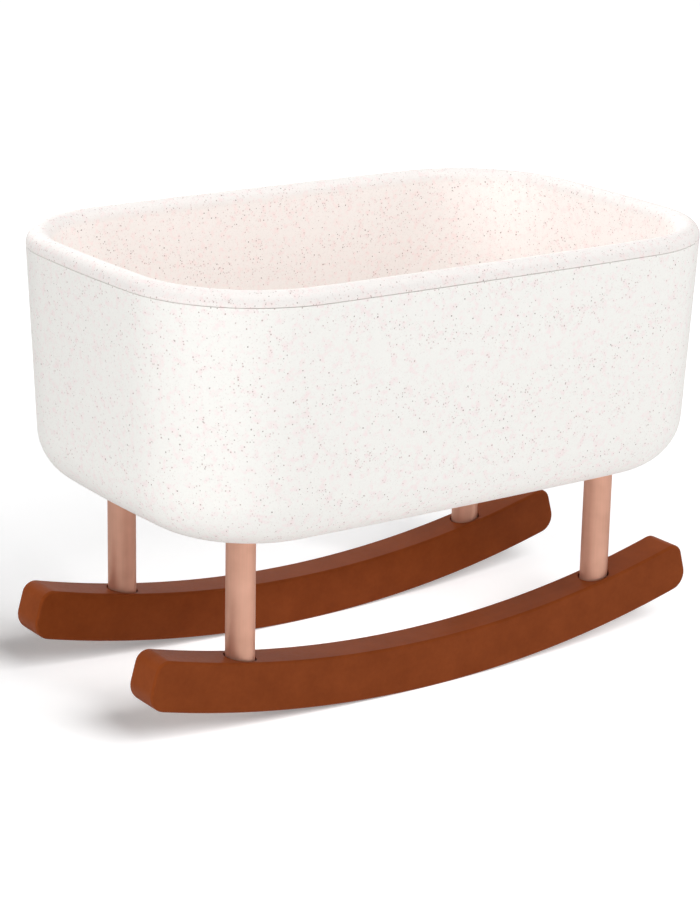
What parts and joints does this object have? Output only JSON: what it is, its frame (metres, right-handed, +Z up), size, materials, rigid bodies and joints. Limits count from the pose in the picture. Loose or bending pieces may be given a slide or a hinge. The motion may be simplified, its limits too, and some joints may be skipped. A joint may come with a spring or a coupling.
{
  "type": "doll rocking crib",
  "caption": "Toy rocking crib: a rounded double-skin tub with a rolled lip on round tube legs, standing on curved rockers that rock it lengthwise.",
  "frame": {"origin": "on the floor, below the middle of the tub, midway between the two rockers", "axes": "+X along the crib's length, the way it rocks; +Y across it, towards the rear rocker; +Z up"},
  "size_m": [0.4252, 0.275, 0.2892],
  "materials": {
    "speckled_plastic": "warm off-white with fine rosy and grey speckle, satin matte",
    "rose_metal": "satin rose-gold metallic",
    "brown_plastic": "smooth reddish brown, semi-gloss",
    "plug_plastic": "natural grey moulding",
    "zinc_steel": "bright zinc plate"
  },
  "bodies": {
    "root": {"outer_shell": "speckled_plastic", "inner_tub": "speckled_plastic", "front_left_leg": "rose_metal", "front_right_leg": "rose_metal", "rear_left_leg": "rose_metal", "rear_right_leg": "rose_metal", "front_left_leg_lower_plug": "plug_plastic", "front_right_leg_lower_plug": "plug_plastic", "rear_left_leg_lower_plug": "plug_plastic", "rear_right_leg_lower_plug": "plug_plastic", "front_left_leg_upper_plug": "plug_plastic", "front_right_leg_upper_plug": "plug_plastic", "rear_left_leg_upper_plug": "plug_plastic", "rear_right_leg_upper_plug": "plug_plastic", "front_left_leg_lower_screw": "zinc_steel", "front_right_leg_lower_screw": "zinc_steel", "rear_left_leg_lower_screw": "zinc_steel", "rear_right_leg_lower_screw": "zinc_steel", "front_left_leg_upper_screw": "zinc_steel", "front_right_leg_upper_screw": "zinc_steel", "rear_left_leg_upper_screw": "zinc_steel", "rear_right_leg_upper_screw": "zinc_steel", "front_left_tub_screw": "zinc_steel", "front_right_tub_screw": "zinc_steel", "rear_left_tub_screw": "zinc_steel", "rear_right_tub_screw": "zinc_steel", "front_rocker": "brown_plastic", "rear_rocker": "brown_plastic", "front_rocker_sole_plate": "brown_plastic", "rear_rocker_sole_plate": "brown_plastic", "front_rocker_left_sole_screw": "zinc_steel", "front_rocker_right_sole_screw": "zinc_steel", "rear_rocker_left_sole_screw": "zinc_steel", "rear_rocker_right_sole_screw": "zinc_steel"}
  },
  "joints": []
}
